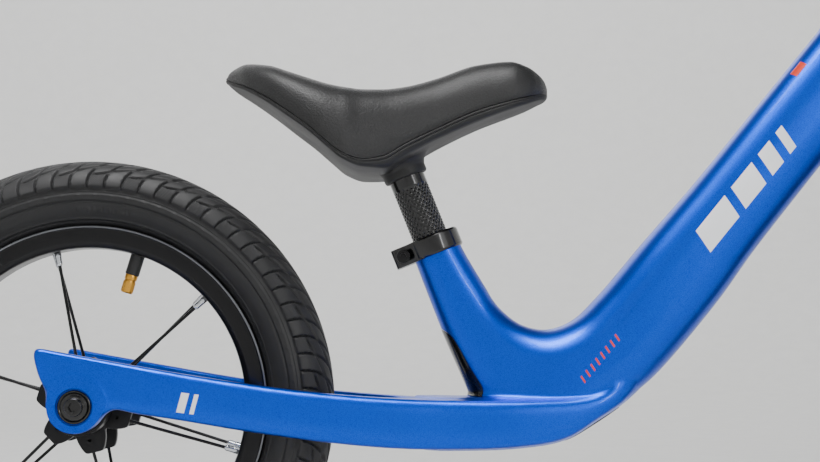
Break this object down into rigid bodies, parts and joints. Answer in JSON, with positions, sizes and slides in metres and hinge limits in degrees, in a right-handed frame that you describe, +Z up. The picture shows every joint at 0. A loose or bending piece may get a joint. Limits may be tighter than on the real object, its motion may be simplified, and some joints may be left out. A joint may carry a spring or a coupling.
{
  "type": "balance bike",
  "caption": "Child's balance bike: curved monocoque frame, spoked air-tyred wheels, turning fork with riser handlebar, and a padded saddle on a clamped post.",
  "frame": {"origin": "on the ground, half way between the two wheel contact points, on the bike's middle plane", "axes": "+X forwards (towards the front wheel), +Z up, +Y to the rider's left"},
  "size_m": [0.897, 0.4178, 0.5346],
  "materials": {
    "blue_paint": "metallic blue lacquer",
    "black_gloss": "gloss black",
    "black_satin": "satin black",
    "black_plastic": "moulded black plastic",
    "rim_black": "satin black anodised",
    "spoke_black": "black spokes with bright nipples",
    "tyre_rubber": "matte black rubber",
    "tube_rubber": "black rubber with a brass valve end",
    "grip_rubber": "matte black rubber",
    "saddle_vinyl": "pebbled black vinyl",
    "bearing_steel": "ground steel"
  },
  "bodies": {
    "frame": {"main_frame": "blue_paint", "seat_tube_cover": "black_gloss", "belly_guard": "black_plastic", "seat_clamp": "black_gloss", "seat_clamp_bolt": "black_gloss", "rear_axle": "bearing_steel", "rear_axle_bolt_right": "black_gloss", "rear_axle_bolt_left": "black_gloss", "lower_headset_bearing": "bearing_steel", "upper_headset_bearing": "bearing_steel"},
    "seat": {"seat_post": "black_gloss", "saddle_base": "black_plastic", "saddle_pad": "saddle_vinyl"},
    "rear_wheel": {"rear_tyre": "tyre_rubber", "rear_inner_tube": "tube_rubber", "rear_rim": "rim_black", "rear_hub_shell": "black_satin", "rear_bearing_right": "bearing_steel", "rear_bearing_left": "bearing_steel", "rear_spoke_01": "spoke_black", "rear_spoke_02": "spoke_black", "rear_spoke_03": "spoke_black", "rear_spoke_04": "spoke_black", "rear_spoke_05": "spoke_black", "rear_spoke_06": "spoke_black", "rear_spoke_07": "spoke_black", "rear_spoke_08": "spoke_black", "rear_spoke_09": "spoke_black", "rear_spoke_10": "spoke_black", "rear_spoke_11": "spoke_black", "rear_spoke_12": "spoke_black"},
    "steering": {"fork": "blue_paint", "headset_cover": "black_satin", "stem": "black_satin", "stem_faceplate": "black_satin", "top_cap": "black_satin", "handlebar": "black_satin", "grip_right": "grip_rubber", "grip_left": "grip_rubber", "front_axle": "bearing_steel", "front_axle_bolt_right": "black_gloss", "front_axle_bolt_left": "black_gloss"},
    "front_wheel": {"front_tyre": "tyre_rubber", "front_inner_tube": "tube_rubber", "front_rim": "rim_black", "front_hub_shell": "black_satin", "front_bearing_right": "bearing_steel", "front_bearing_left": "bearing_steel", "front_spoke_01": "spoke_black", "front_spoke_02": "spoke_black", "front_spoke_03": "spoke_black", "front_spoke_04": "spoke_black", "front_spoke_05": "spoke_black", "front_spoke_06": "spoke_black", "front_spoke_07": "spoke_black", "front_spoke_08": "spoke_black", "front_spoke_09": "spoke_black", "front_spoke_10": "spoke_black", "front_spoke_11": "spoke_black", "front_spoke_12": "spoke_black"}
  },
  "joints": [
    {"name": "rear_wheel_spin", "type": "hinge", "parent": "frame", "child": "rear_wheel", "pos_m": [-0.3, 0, 0.1485], "axis": [0, 1, 0], "continuous": true},
    {"name": "seat_height", "type": "slide", "parent": "frame", "child": "seat", "axis": [-0.3714, 0, 0.9285], "range_m": [-0.035, 0.04]},
    {"name": "steering_turn", "type": "hinge", "parent": "frame", "child": "steering", "pos_m": [0.28869, 0, 0.14393], "axis": [-0.3746, 0, 0.9272], "continuous": true},
    {"name": "front_wheel_spin", "type": "hinge", "parent": "steering", "child": "front_wheel", "pos_m": [0.3, 0, 0.1485], "axis": [0, 1, 0], "continuous": true}
  ]
}
